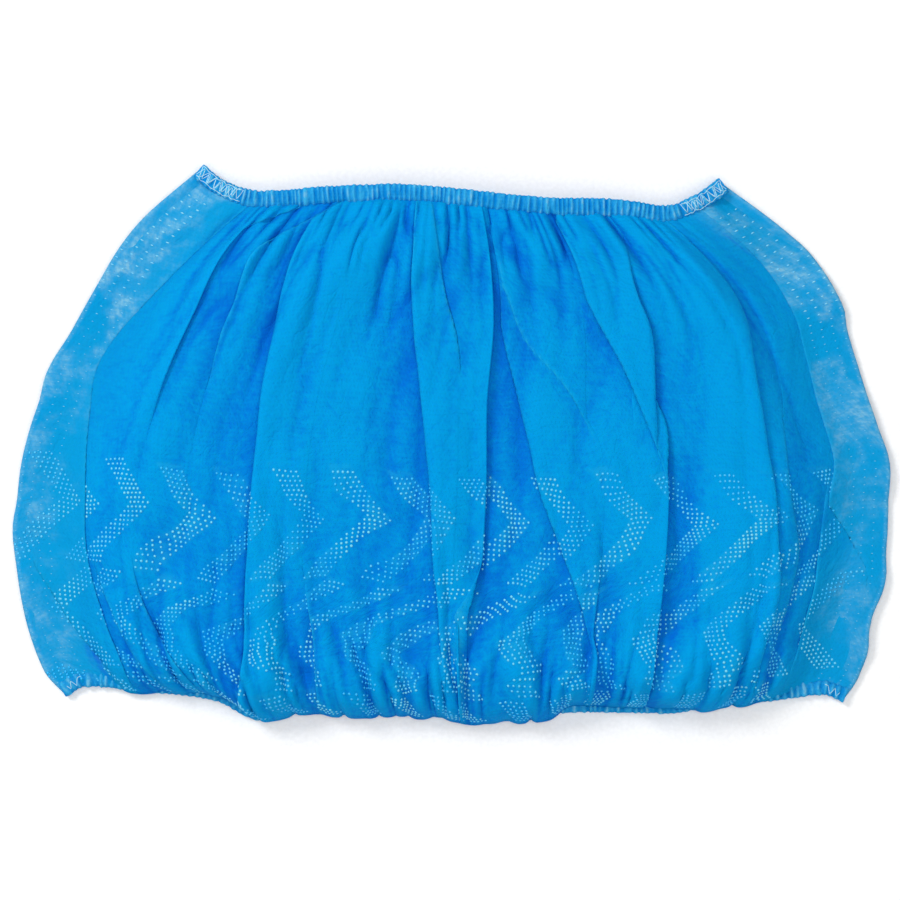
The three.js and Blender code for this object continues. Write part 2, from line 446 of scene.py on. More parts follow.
def make_cloth(name, bright, deep_and_shaded, gathered=False):
    """The cloth's finish with its painted light and shade, pale at the sheet's ends, or in a gathered
    casing on the creased ridges.
    """
    material, nodes = new_material(name)
    place = fabric_place(nodes)
    lift = nodes.attribute("lift")
    x, y = nodes.along(place, "X"), nodes.along(place, "Y")

    clouds = noise(nodes, place, 0.07, 5)
    mottle = noise(nodes, place, 0.45, 4)
    slanted = nodes.node("ShaderNodeCombineXYZ", {}, {0: x * 0.8 + y * 0.6, 1: y * 0.8 - x * 0.6})
    fibres = noise(nodes, slanted, 1.0, 4, (1, 0.3, 1)) + noise(nodes, place, 1.2, 4, (0.35, 1, 1))
    crackle = noise(nodes, place, 0.055, 3, (1.5, 0.6, 1)).distance(0.5).step(0.0, 0.05)
    crackle = crackle.at_most(noise(nodes, place, 0.085, 3, (1, 1.2, 1)).distance(0.5).step(0.0, 0.04))
    shifted = x + (y / BOND_PITCH).floor() % 2 * (BOND_PITCH / 2)
    across = (shifted % BOND_PITCH).distance(BOND_PITCH / 2)
    along = (y % BOND_PITCH).distance(BOND_PITCH / 2)
    bond = 1 - (across * 1.6 + along).step(0.18, 0.42)

    # Painted light and shade: the lift attribute paints the cloth lighter on top of the pleats and darker
    # in valleys and creases. The noises add random tone.
    painted_shade_and_tone = lift * 0.88 + (clouds - 0.5) * 0.3 + (mottle - 0.5) * 0.6 + (fibres - 1) * 0.45 - bond * 0.05
    colour = nodes.mix(painted_shade_and_tone.step(0.0, 1.0), deep_and_shaded, bright)
    if gathered:
        broken = noise(nodes, place, 0.35, 3).step(0.42, 0.62)
        colour = nodes.mix(nodes.attribute("crimp") * broken * 0.75, colour, CLOTH_PALE)
    else:
        worn = noise(nodes, place, 0.055, 2).step(0.4, 0.6)
        colour = nodes.mix(tread_print(x, y) * mottle.step(0.25, 0.6) * worn * 0.2, colour, TREAD_TINT_AND_HIGHLIGHT)
        # Near the welded ends, the raised cloth is painted lighter.
        from_end = x.at_most(CUT_WIDTH - x)
        colour = nodes.mix((1 - from_end.step(10, 40)) * lift.step(0.2, 0.6) * 0.9, colour, END_PAINTED_LIGHT)
        patchy = noise(nodes, place, 0.05, 3).step(0.4, 0.66)
        patchy = patchy * (0.45 + noise(nodes, place, 0.2, 4).step(0.42, 0.64))
        paleness = (1 - from_end.step(6, 22)) * patchy * (0.4 + y.step(60, 120) * 0.5)
        paleness = paleness + (1 - from_end.step(0.3, 1.6)) * 0.4
        colour = nodes.mix(paleness * (0.35 + fibres.step(0.8, 1.3) * 0.75), colour, CLOTH_PALE)
        # A painted highlight along each pleat's turned edge, in the pale tread colour.
        rim_highlight = nodes.attribute("rim_highlight") * (0.14 + mottle.step(0.4, 0.6) * 0.3)
        colour = nodes.mix(rim_highlight, colour, TREAD_TINT_AND_HIGHLIGHT)

    height = fibres * 0.3 + mottle * 0.5 - bond * 0.4 + crackle * 0.5 + clouds * 1.6
    if not gathered:
        height = height + noise(nodes, place, 0.16, 3).distance(0.5) * (1 - from_end.step(18, 50)) * 4
    bump = nodes.node("ShaderNodeBump", {}, {"Strength": 0.55, "Distance": 0.0003, "Height": height})
    rough = 0.86 - bond * 0.2
    inputs = {"Base Color": colour, "Roughness": rough, "Normal": bump, "Specular IOR Level": 0.05}
    principled = nodes.node("ShaderNodeBsdfPrincipled", {}, inputs)
    through_cloth = nodes.node("ShaderNodeBsdfTranslucent", {}, {"Color": colour})
    nodes.surface(nodes.node("ShaderNodeMixShader", {}, {0: 0.36, 1: principled, 2: through_cloth}))
    return material


cloth = make_cloth("nonwoven_cloth", CLOTH_BRIGHT, CLOTH_DEEP_AND_SHADED)
# The casing's bright and deep colours are its lit and painted-shade ends.
casing = make_cloth("gathered_casing", srgb(66, 198, 244), srgb(4, 154, 228), gathered=True)


def plain_finish(name, colour, roughness, specular, faded=0.0):
    material, nodes = new_material(name)
    place = nodes.node("ShaderNodeTexCoord", {}, {}, "Object")
    speck, worn = noise(nodes, place, 900.0, 2.0), noise(nodes, place, 58.0).step(0.42, 0.64)
    darker = tuple(c * 0.85 for c in colour[:3]) + (1,)
    inputs = {
        "Base Color": nodes.mix((1 - worn) * faded, nodes.mix(speck, darker, colour), CLOTH_BRIGHT),
        "Roughness": roughness + (speck - 0.5) * 0.3,
        "Specular IOR Level": specular,
    }
    nodes.surface(nodes.node("ShaderNodeBsdfPrincipled", {}, inputs))
    return material


dot_finish = plain_finish("tread_dots", srgb(112, 214, 243), 0.45, 0.35, 0.85)
weld_finish = plain_finish("weld_marks", srgb(136, 216, 244), 0.4, 0.35, 0.3)
thread_finish = plain_finish("elastic_thread", srgb(186, 230, 245), 0.6, 0.3)
table_finish = plain_finish("pale_table", srgb(254, 254, 254), 0.9, 0.0)
floor.data.materials.append(table_finish)
print("materials:", len(bpy.data.materials))

# %% [markdown]
# ## How the sheet lies
#
# Across the cover there is far more cloth than room, because the elastics have drawn it together.
# The spare cloth lies in pleats. Going across a pleat, the cloth runs forward, turns back under its
# own top layer, and runs forward again. `body` is the side on which the top layer lies, 1 for the
# right and -1 for the left. `line` is where the pleat's visible edge runs, from the mouth towards
# the sole. The pleats are listed from left to right.

# %% Pleats of the upper layer
def pleat(name, body, overlap, lift, tail, *line, fade=26, dip=0.45):
    """A fold, with its sizes in millimetres. line holds points x, y from the mouth to the sole."""
    points = np.array(line[::-1], float)
    sizes = {"overlap": overlap, "lift": lift, "tail": tail, "fade": fade, "dip": dip}
    return sizes | {"name": name, "body": body, "line": {"at": points[:, 1], "x": points[:, 0]}}


UPPER_PLEATS = [
    pleat("left foot fan", 1, 3, 1.1, 9, (-111.1, -44), (-104.2, -55.1), (-90.2, -67.9), fade=14),
    pleat("left lap", -1, 6, 0.9, 18, (-55.8, 64.8), (-80.7, 41.8), (-97.3, 21.9), (-100.9, -2.5),
          (-99.5, -37.1), (-91, -57.8)),
    pleat("left lap toe", 1, 3, 0.8, 9, (-94.7, -44.6), (-88.4, -57.8), (-79.3, -69.5), fade=14),
    pleat("left toe tuck", -1, 3, 0.8, 9, (-83.4, -44), (-79.3, -55.1), (-69.6, -68.9), fade=14),
    pleat("left shoulder", -1, 3, 1.2, 8, (-46.1, 62.5), (-65.5, 54.8), (-75.7, 41.8), (-80.7, 26.6)),
    pleat("left tuck", 1, 3, 1.1, 9, (-41.1, 60.6), (-54.4, 52.9), (-59.1, 44.6), (-61.3, 36.3)),
    pleat("broad left flap", 1, 9, 2.1, 40, (-37.6, 62.5), (-44.7, 47.3), (-51.6, 19.6), (-55.2, -8),
          (-56.9, -32.9), (-57.7, -55.1), (-58.5, -71.7)),
    pleat("foot slit", 1, 3.5, 1.4, 9, (-39.2, -46.8), (-36.9, -68.9), fade=14),
    pleat("centre flap", 1, 7, 2.2, 20, (-10.9, 65.3), (-10.7, 39), (-8.7, 11.3), (-6.8, -16.3),
          (-6.5, -32.9), (-5.2, -44)),
    pleat("centre slit", -1, 2.5, 0.8, 5, (-4.4, 63.9), (-2.1, 48), (-0.6, 39)),
    pleat("foot flap", 1, 4, 1.4, 10, (2.1, -46), (-10.1, -68.9), fade=14),
    pleat("centre flap back", -1, 7, 1.8, 20, (3, 63.9), (6.5, 41.8), (8.4, 26.6), (7.3, 5.8),
          (5.1, -16.3), (3.9, -32.9), (2.4, -43.4), dip=0.2),
    pleat("right of centre", 1, 8, 1.2, 26, (10.3, 46.3), (14.3, 22.6), (20.2, -1.3), (27.3, -24.6),
          (33.3, -42.6), fade=18, dip=0.2),
    pleat("thin crease", 1, 1.5, 0.8, 6, (12.1, 44), (20.8, 26.6), (30, 14.7), (34, 8.6), fade=12),
    pleat("foot flap right", -1, 4, 1.4, 10, (30.1, -48.8), (24.5, -57.8), (17.6, -71.7), fade=14),
    pleat("right flap", 1, 7, 2.0, 24, (28.9, 62.5), (28.9, 54.2), (35.6, 39), (46.6, 19.1), (52.6, 5.2),
          fade=20),
    pleat("right flap back", -1, 8, 2.3, 26, (52, 40), (55.5, 29), (56.9, 3), (54.4, -21.9),
          (50, -49.5), (41.1, -68.9), fade=20),
    pleat("right shoulder", -1, 8, 2.1, 22, (54.9, 65.3), (68.8, 52.9), (81.2, 36.3), (84.5, 19.6),
          (88.1, -2.5), (90.4, -27.4), (90.9, -41.2), (86.8, -55.1)),
    pleat("right tuck", -1, 3, 1.0, 8, (93.4, -8), (95.2, -21.9), (96.1, -32.9), (94.1, -44),
          (90.1, -55.1)),
    pleat("right tuck back", 1, 3, 1.1, 8, (102, -27.4), (99.7, -41.2), (97.4, -49.5)),
    pleat("right end lap", 1, 6, 1.6, 16, (68.8, 57), (81.2, 41.8), (90.4, 32.1), (94.3, 14.1),
          (99.8, -8), (110.3, -28.8), fade=12),
]
print("pleats of the upper layer:", ", ".join(fold["name"] for fold in UPPER_PLEATS))

# %% [markdown]
# Near an elastic the cloth is drawn into fine gathers. Further away they join into fewer and wider
# ones. Each row of this table is one generation: how many there are from end to end, how high they
# stand, how far from the elastic they are strongest, and how long each keeps its place. A gather is
# a round ridge between two sharp valleys.

# %% Gathers
GATHERS = columns(
    "count height strongest length",
    (58, 1.9, 2, 14),
    (36, 2.2, 6, 26),
    (22, 1.7, 14, 44),
    (13, 1.2, 30, 64),
    (8, 0.7, 56, 90),
)


def ridged(wave):
    """Round ridges with sharp valleys between them, from a smooth wave."""
    return 1.6 * np.abs(wave) ** 0.7 - 0.75


def gathers(across, away, seed, spread=1.0):
    """Height of the gathers at a distance from their elastic, in millimetres, and how creased they are,
    which is painted as shade.
    """
    height, crease = 0, 0
    for k, (count, high, strongest, length) in enumerate(rows_of(GATHERS)):
        warp = 0.5 * ripple(across * count / 3, away / length, seed + 20 + k)
        wave = ripple((across + warp / count) * count, away / length, seed + k)
        reach = strongest * spread + 4
        strength = (away + 4) / reach * np.exp(1 - (away + 4) / reach)
        height = height + high * ridged(wave) * strength
        steep = np.abs(np.gradient(wave))
        line = np.exp(-((wave / 0.16) ** 2)) * np.clip(steep / steep.mean(), 0, 1)
        crease = np.maximum(crease, line * strength * high / 2)
    return height, crease


# %% [markdown]
# ## Laying a sheet
#
# First each pleat is anchored: for every row, how far across its edge lies and how strong it is
# there. A pleat that fades out keeps its last place, with no overlap, so the columns of the mesh run
# on smoothly. Then each row is laid as a zigzag through its pleats, with rounded turns, and measured
# along the cloth for the UV map.

# %% Anchoring the pleats
def anchor(pleats, ups, seed):
    """Each pleat's share across and its strength, for each row."""
    shares, strengths = np.zeros((2, len(pleats), len(ups)))
    across = np.linspace(0, 1, 1501)
    mouth_end = 50  # mm, above which a pleat's line runs on into the mouth
    for row, up in enumerate(ups):
        x, y = plan(across, up)
        for number, fold in enumerate(pleats):
            line = fold["line"]
            beside = x - through(line, "x", y) - 0.9 * ripple(y / 14, number, seed + 70)
            at = np.clip(np.argmin(np.abs(beside)), 1, len(x) - 2)
            slope = (beside[at + 1] - beside[at - 1]) / (across[at + 1] - across[at - 1])
            shares[number, row] = np.clip(across[at] - beside[at] / slope, 0.02, 0.98)
            strength = smoothstep(y[at], line["at"][0] - fold["fade"], line["at"][0] + 2)
            if line["at"][-1] < mouth_end:
                strength *= 1 - smoothstep(y[at], line["at"][-1] - 2, line["at"][-1] + fold["fade"])
            strengths[number, row] = strength
    rows = np.arange(len(ups))
    for share, strength in zip(shares, strengths):
        there = strength > 0.02
        share[:] = np.interp(rows, rows[there], share[there])
        share[:] = np.convolve(np.pad(share, 2, "edge"), [0.1, 0.2, 0.4, 0.2, 0.1], "valid")
    for number in range(1, len(pleats)):
        shares[number] = np.maximum(shares[number], shares[number - 1] + 0.004)
    return shares, strengths


# %% The ground under the folds
SOLE_ROLL = 13.0  # mm over which the layer rises from the sole fold


def belly(across, up, height, weld_height):
    """How high a layer stands without its folds: flat at the welds, rounded over the sole fold."""
    width = through(ENDS, "right_x", up) - through(ENDS, "left_x", up)
    from_end = np.minimum(across, 1 - across) * width
    shoulder = smoothstep(from_end, WELD_WIDTH, WELD_WIDTH + 24)
    roll = np.sqrt(1 - (1 - np.clip((up - sole_share / 2) * HEIGHT / SOLE_ROLL, 0, 1)) ** 2)
    return weld_height + height * shoulder * roll, shoulder


def lip_arch(across):
    """The height of the upper lip's middle, which stands over the mouth."""
    return 3.7 + 7.6 * np.sin(np.pi * np.clip(across, 0, 1)) ** 0.7


# %% A row's turns
ALONG_STEP = 0.1  # mm between the points of a row while it is laid


def rounded(values, radius):
    """Smoothed along the cloth, with its ends kept."""
    reach = int(3 * radius / ALONG_STEP)
    bell = np.exp(-0.5 * (np.arange(-reach, reach + 1) * ALONG_STEP / radius) ** 2)
    before, after = 2 * values[0] - values[reach:0:-1], 2 * values[-1] - values[-2 : -reach - 2 : -1]
    return np.convolve(np.concatenate([before, values, after]), bell / bell.sum(), "valid")


def zigzag(pleats, shares, strengths, across, run):
    """Where a row's turns are laid, where they are along the cloth, and each pleat's place there."""
    width = run[-1]
    narrow = 0.55 + 0.45 * smoothstep(width, 140, 230)
    laid, cloth_at, turns = [0.0], [0.0], []
    for fold, share, strength in zip(pleats, shares, strengths):
        edge = np.interp(share, across, run)
        full = fold["overlap"] * narrow
        first = edge + full * strength * (fold["body"] > 0)
        second = edge - full * strength * (fold["body"] < 0)
        start = cloth_at[-1] + max(first - laid[-1], 0.2) + full * (1 - strength)
        laid += [first, second]
        cloth_at += [start, start + full]
        turns.append((fold, start + full / 2, full / 2, strength))
    laid.append(width)
    cloth_at.append(cloth_at[-1] + width - laid[-2])
    return laid, cloth_at, turns


def pleat_shape(turns, cloth_line):
    """How high the pleats lift the cloth, the painted highlight on their rims, and the painted shade beside
    them.
    """
    top, low, rim_highlight, shade = np.zeros((4, len(cloth_line)))
    for fold, middle, half, strength in turns:
        side = (cloth_line - middle) / half * fold["body"]
        rise = smoothstep((side - 1) * half, -1.7, 0.6)
        body = rise * np.exp(-((np.maximum(side - 1, 0) * half / fold["tail"]) ** 2))
        under = (1 - rise) * np.exp(-((np.maximum(-side - 3, 0) * half / 11) ** 2))
        top += (fold["lift"] * strength * body) ** 3
        low += (fold["dip"] * fold["lift"] * strength * under) ** 3
        rim_highlight = np.maximum(rim_highlight, strength * np.exp(-(((side - 0.8) * half / 1.1) ** 2)))
        beside = np.exp(-((np.minimum(side + 3, 0) * half / 3.5) ** 2)) * (side < -1)
        shade = np.maximum(shade, strength * beside)
    return rounded(np.cbrt(top) - np.cbrt(low), 1.1), rim_highlight, shade


# %% One row
TURN_RADIUS = 0.95  # mm, of a pleat's rounded edge


def lay_row(up, pleats, shares, strengths, seed, style, count):
    """One row of a layer: its points, their painted light and shade, the painted rim highlights, and how
    far along the cloth they are.
    """
    across = np.linspace(0, 1, 3001)
    x, y = plan(across, up)
    run = np.concatenate([[0], np.cumsum(np.hypot(np.diff(x), np.diff(y)))])
    laid, cloth_at, turns = zigzag(pleats, shares, strengths, across, run)
    cloth_line = np.arange(0, cloth_at[-1], ALONG_STEP)
    moved = np.clip(rounded(np.interp(cloth_line, cloth_at, laid), TURN_RADIUS), 0, run[-1])
    shape, rim_highlight, shade = pleat_shape(turns, cloth_line)

    share = np.interp(moved, run, across)
    x, y = np.interp(moved, run, x), np.interp(moved, run, y)
    ground, shoulder = belly(share, up, *style["belly"])
    mouth_far, sole_far = (1 - lip_share - up) * HEIGHT, (up - sole_share) * HEIGHT
    at_mouth, crease = gathers(share, np.maximum(mouth_far, 0), seed)
    at_sole, sole_crease = gathers(share * 1.25, np.maximum(sole_far, 0), seed + 50, 0.8)
    fine = at_mouth * smoothstep(mouth_far, -3, 1) + at_sole * smoothstep(sole_far, -3, 1)
    crease = np.maximum(crease, sole_crease * 0.8)
    drape = share * 22 + up * 2.5
    crumple = 0.6 * ridged(ripple(drape, up * 9 - share * 4, seed + 90))
    crumple = crumple + 0.3 * ripple(drape * 2.1, up * 17, seed + 91)
    crumple = crumple * (2.0 - 1.3 * smoothstep(up, 0.15, 0.6))
    near_mouth = smoothstep(up, 0.9, 1 - lip_share)
    near_sole = 1 - smoothstep(sole_far, -2, 8)
    folds = shape * (1 - 0.4 * near_mouth) * (1 - 0.5 * near_sole)
    folds = (folds + fine) * (0.08 + 0.92 * shoulder) + crumple * (0.25 + 0.75 * shoulder)
    # Painted light and shade for the lift attribute. The cloth is painted lighter on the pleats, gathers
    # and crumples, and darker in creases, beside pleat edges and near the sole. It is painted lighter near
    # the welded ends, where fewer layers stack.
    deep_and_shaded = 0.08 * (1 - smoothstep(sole_far, 5, 45))
    deep_and_shaded = deep_and_shaded - 0.17 * (1 - smoothstep(np.minimum(share, 1 - share), 0.1, 0.32))
    painted_relief = 0.17 * shape + 0.13 * fine + 0.13 * crumple - 0.5 * crease - 0.2 * shade - deep_and_shaded
    painted_shading = 0.76 + painted_relief * (0.45 + 0.55 * shoulder)
    z = style["height"](share, up, ground, folds)
    x, y, z = style["overhang"](share, up, x, y, z)

    steps = np.sqrt(np.diff(x) ** 2 + np.diff(y) ** 2 + np.diff(z) ** 2)
    along = np.concatenate([[0], np.cumsum(steps)])
    at = np.linspace(0, len(cloth_line) - 1, count)
    pick = [np.interp(at, np.arange(len(cloth_line)), c) for c in (x, y, z, painted_shading, rim_highlight, along)]
    return np.stack(pick[:3], axis=1), *pick[3:]


# %% A whole sheet
FLAT_END = 34.0  # mm at each end of the sheet that isn't gathered


def lay_sheet(name, pleats, seed, style, columns_across, rows_up):
    """A layer of the cover as a grid mesh, with its flat cut as the UV map."""
    low, high = sole_share * 0.35, 1 - lip_share * 0.45
    steps = np.linspace(0, 1, rows_up)
    ups = low + (high - low) * (steps - 0.06 * np.sin(2 * np.pi * steps))
    shares, strengths = anchor(pleats, ups, seed)
    rows = [
        lay_row(up, pleats, shares[:, k], strengths[:, k], seed, style, columns_across)
        for k, up in enumerate(ups)
    ]
    grid, painted_shading, rim_highlight, along = (np.array([row[k] for row in rows]) for k in range(4))
    lengths = along[:, -1:]
    climbs = np.linalg.norm(np.diff(grid, axis=0), axis=2)
    climb = np.concatenate([[low * HEIGHT], np.median(climbs, axis=1)]).cumsum()
    print(f"{name}: {lengths.min():.0f} to {lengths.max():.0f} mm of cloth in a row, {climb[-1]:.0f} mm up")

    spare = CUT_WIDTH - lengths  # the gathers too fine for the mesh, between the flat ends
    flat_x = along + spare * np.clip((along - FLAT_END) / (lengths - 2 * FLAT_END), 0, 1)
    flat_y = climb[:, None] + 0 * along
    inner = smoothstep(np.minimum(flat_x, CUT_WIDTH - flat_x), 14, 40) * smoothstep(flat_y, 6, 16)
    slack_x, slack_y = (1.7 * inner * ripple(flat_x / 11, flat_y / 13, seed + k) for k in (95, 96))
    index = np.arange(painted_shading.size).reshape(painted_shading.shape)
    quads = np.stack([index[:-1, :-1], index[:-1, 1:], index[1:, 1:], index[1:, :-1]], axis=-1)
    u, v = (flat_x + slack_x) / CUT_WIDTH, (flat_y + slack_y) / CUT_WIDTH
    return cloth_object(name, grid, quads.reshape(-1, 4).tolist(), u, v, {"lift": painted_shading, "rim_highlight": rim_highlight})


def cloth_object(name, grid, faces, u, v, shades):
    """A smooth mesh from a grid of points in millimetres, with its UV map and its attributes."""
    mesh = bpy.data.meshes.new(name)
    mesh.from_pydata(grid.reshape(-1, 3) * MM, [], faces)
    corners = np.empty(len(mesh.loops), dtype=int)
    mesh.loops.foreach_get("vertex_index", corners)
    uv = np.stack([u.ravel(), v.ravel()], 1)[corners]
    mesh.uv_layers.new(name="fabric").data.foreach_set("uv", uv.ravel())
    for shade, values in shades.items():
        attribute = mesh.attributes.new(shade, "FLOAT", "POINT")
        attribute.data.foreach_set("value", np.clip(values.ravel(), 0, 1))
    mesh.polygons.foreach_set("use_smooth", [True] * len(mesh.polygons))
    return add_object(name, mesh)


# %% Plain meshes
def plain_mesh(made, material=None):
    """The object with its modifiers worked into its mesh, so that none is left on it."""
    shown = bpy.context.evaluated_depsgraph_get()
    mesh = bpy.data.meshes.new_from_object(made.evaluated_get(shown))
    made.modifiers.clear()
    made.data = mesh
    if material:
        mesh.materials.clear()
        mesh.materials.append(material)
    count = sum(len(p.vertices) - 2 for p in mesh.polygons)
    print(f"{made.name}: {count} triangles")
    return made


def thicken(made):
    """A closed sheet of real thickness, half to each side."""
    solid = made.modifiers.new("wall", "SOLIDIFY")
    solid.thickness, solid.offset = CLOTH_THICKNESS * MM, 0
    return plain_mesh(made, cloth)


# %% [markdown]
# ### The two layers
#
# The upper layer stands over the belly, and here and there it bulges over the sole's elastic. The
# lower one lies on the table with its outside face down, so its pleats are tucked up into the pouch
# and its height is never below the table.

# %% The upper layer
BAND_TOP = 2.6  # mm, the top of the sole's elastic


def crumpled_ends(share, up, x, y, z):
    """The welded ends aren't quite straight, and lift from the table here and there."""
    near = 1 - smoothstep(np.minimum(share, 1 - share), 0, 0.12)
    free = near * smoothstep(up, 0.03, 0.14) * (1 - smoothstep(up, 0.86, 0.96))
    side = np.round(share) * 7
    lifted = 1.3 * np.maximum(ripple(up * 9, side, 62), 0) * free
    return x + 1.0 * ripple(up * 13, side, 61) * free, y, z + lifted


def upper_height(share, up, ground, folds):
    near_mouth = smoothstep(up, 0.84, 1 - lip_share)
    from_end = np.minimum(share, 1 - share)
    z = ground + folds
    arch = lip_arch(share) + 0.2 + folds * 0.8
    z = z + (np.maximum(arch, 0.75) - z) * near_mouth * smoothstep(from_end, 0, 0.06)
    tucked = smoothstep(up, 1 - lip_share * 1.35, 1 - lip_share * 0.7)
    return z + (np.minimum(z, lip_arch(share) - 0.4) - z) * tucked


def upper_overhang(share, up, x, y, z):
    """The cloth bulges out over the sole's elastic in lumps."""
    lump = smoothstep(ripple(share * 15, 0.5, 207), -0.25, 0.5) * smoothstep(share, 0.02, 0.1)
    lump *= 1 - smoothstep(share, 0.66, 0.7) * (1 - smoothstep(share, 0.78, 0.82))
    lump *= 1 - smoothstep(share, 0.9, 0.96)
    near = 1 - smoothstep(up, 0, 0.09)
    lump = lump * (0.8 + 0.4 * ridged(ripple(share * 46, 0.5, 208)))
    lifted = np.maximum(z, BAND_TOP + 0.4 - 1.6 * (1 - smoothstep(up, 0, 0.012)))
    return crumpled_ends(share, up, x, y - 3.6 * lump * near, z + (lifted - z) * lump)


upper_style = {"belly": (12.2, 1.4), "height": upper_height, "overhang": upper_overhang}
upper_sheet = lay_sheet("upper_layer", UPPER_PLEATS, 3, upper_style, 600, 80)

# %% The lower layer
LOWER_PLEATS = [
    pleat("under 1", 1, 9, 2.0, 18, (-50, 66), (-82, 10), (-84, -66)),
    pleat("under 2", 1, 11, 2.2, 18, (-38, 66), (-60, 10), (-58, -70)),
    pleat("under 3", -1, 10, 2.0, 16, (-20, 66), (-32, 0), (-28, -72)),
    pleat("under 4", 1, 11, 2.2, 18, (-4, 66), (-6, 0), (-2, -72)),
    pleat("under 5", -1, 11, 2.0, 18, (14, 64), (20, 0), (20, -72)),
    pleat("under 6", 1, 10, 2.2, 16, (30, 62), (46, 10), (48, -72)),
    pleat("under 7", -1, 11, 2.0, 18, (44, 62), (72, 10), (70, -70)),
    pleat("under 8", 1, 9, 2.0, 16, (56, 62), (94, 10), (92, -66)),
]


def lower_height(share, up, ground, folds):
    from_end = np.minimum(share, 1 - share)
    lifted = 1.4 * smoothstep(up, 0.8, 1) * (1 - smoothstep(from_end, 0, 0.06))
    return ground + lifted + np.log1p(np.exp(2 * folds)) / 2 * 0.8


lower_style = {"belly": (0.0, 0.9), "height": lower_height, "overhang": crumpled_ends}
lower_sheet = lay_sheet("lower_layer", LOWER_PLEATS, 11, lower_style, 420, 60)

# %% Thickness and finish
upper_surface, lower_surface = upper_sheet.data, lower_sheet.data
upper_layer, lower_layer = thicken(upper_sheet), thicken(lower_sheet)

# %% [markdown]
# ## The covered elastics
#
# Each lip, and the sole fold, is a hem folded over a thin elastic. The elastic has drawn the hem
# into tight little ruffles. A band is a flattened tube, laid square to its edge of the cover: the
# ruffles raise its top and push its edges in and out, and each ridge is creased pale.

# %% Elastic bands
RUFFLES = columns("corner high", (-0.5, 0), (-0.44, 0.34), (-0.25, 0.5), (0, 0.46), (0.25, 0.5),
                  (0.44, 0.34), (0.5, 0), (0.44, -0.34), (0.2, -0.5), (-0.2, -0.5), (-0.44, -0.34))


def band_line(along, middle):
    """The middle of a band and the direction across it, towards the mouth."""
    x, y = plan(along, middle + 0 * along)
    ahead, behind = plan(along + 0.004, middle + 0 * along), plan(along - 0.004, middle + 0 * along)
    dx, dy = ahead[0] - behind[0], ahead[1] - behind[1]
    long = np.hypot(dx, dy)
    return x, y, -dy / long, dx / long


def make_band(name, low, high, centre, ruffles, thickness, seed, bottom=None):
    """A gathered casing between two shares of the way up, with its middle at height centre(across)."""
    along = np.linspace(0.001, 0.999, ruffles * 8)[:, None]
    corner, up_down = RUFFLES["corner"][None, :], RUFFLES["high"][None, :]
    jitter = 0.45 * ripple(along * ruffles / 2.5, 0, seed)
    even = np.cos(2 * np.pi * (along * ruffles + jitter + 0.1 * corner))
    uneven = ripple(along * ruffles * 1.9, corner * 1.6 + 5, seed + 1)
    wave = 0.5 * even + 0.75 * uneven
    width = (high - low) * HEIGHT * (1 + 0.08 * wave + 0.06 * ripple(along * ruffles / 3, 9, seed + 2))
    x, y, away_x, away_y = band_line(along, (low + high) / 2)
    shift = width * corner + 0.3 * ripple(along * 16, 3, seed + 3)
    x, y = x + away_x * shift, y + away_y * shift
    z = centre(along) + thickness * up_down * (1 + 0.35 * wave) + 0.32 * wave * (1 - np.abs(corner))
    if bottom is not None:
        z = np.maximum(z, bottom)
    grid = np.stack([x, y, z], axis=2)
    index = np.arange(z.size).reshape(z.shape)
    turned = np.roll(index, -1, axis=1)
    quads = np.stack([index[:-1], index[1:], turned[1:], turned[:-1]], axis=-1).reshape(-1, 4)
    faces = quads.tolist() + [index[0].tolist(), index[-1, ::-1].tolist()]  # the last two close its ends
    u, v = along + 0 * z, (corner + 0.5) * 6 / CUT_WIDTH + 0 * z
    # The lift attribute paints the ruffles' tops lighter and their hollows darker, as painted shade.
    shades = {"lift": 0.5 + 0.5 * wave, "crimp": smoothstep(wave, 0.3, 0.9)}
    return plain_mesh(cloth_object(name, grid, faces, u, v, shades), casing)


upper_lip = make_band("upper_lip", 1 - lip_share, 1, lip_arch, 100, 1.7, 31)
lower_lip = make_band("lower_lip", 1 - lip_share, 1, lambda a: 1.2 + 0 * a, 100, 1.6, 37, 0.1)
sole_band = make_band("sole_band", 0, sole_share, lambda a: 1.3 + 0 * a, 116, 1.8, 41, 0.1)

# %% [markdown]
# ## The tread dots
#
# The sole's grip is printed in rows of chevrons, each built of small raised dots of clear polymer.
# Geometry Nodes print them: a grid of points is bent into chevrons in the flat sheet's own
# millimetres, Sample UV Surface carries each point to the folded cloth, and a flattened ball is set
# on it, turned to the cloth's normal.

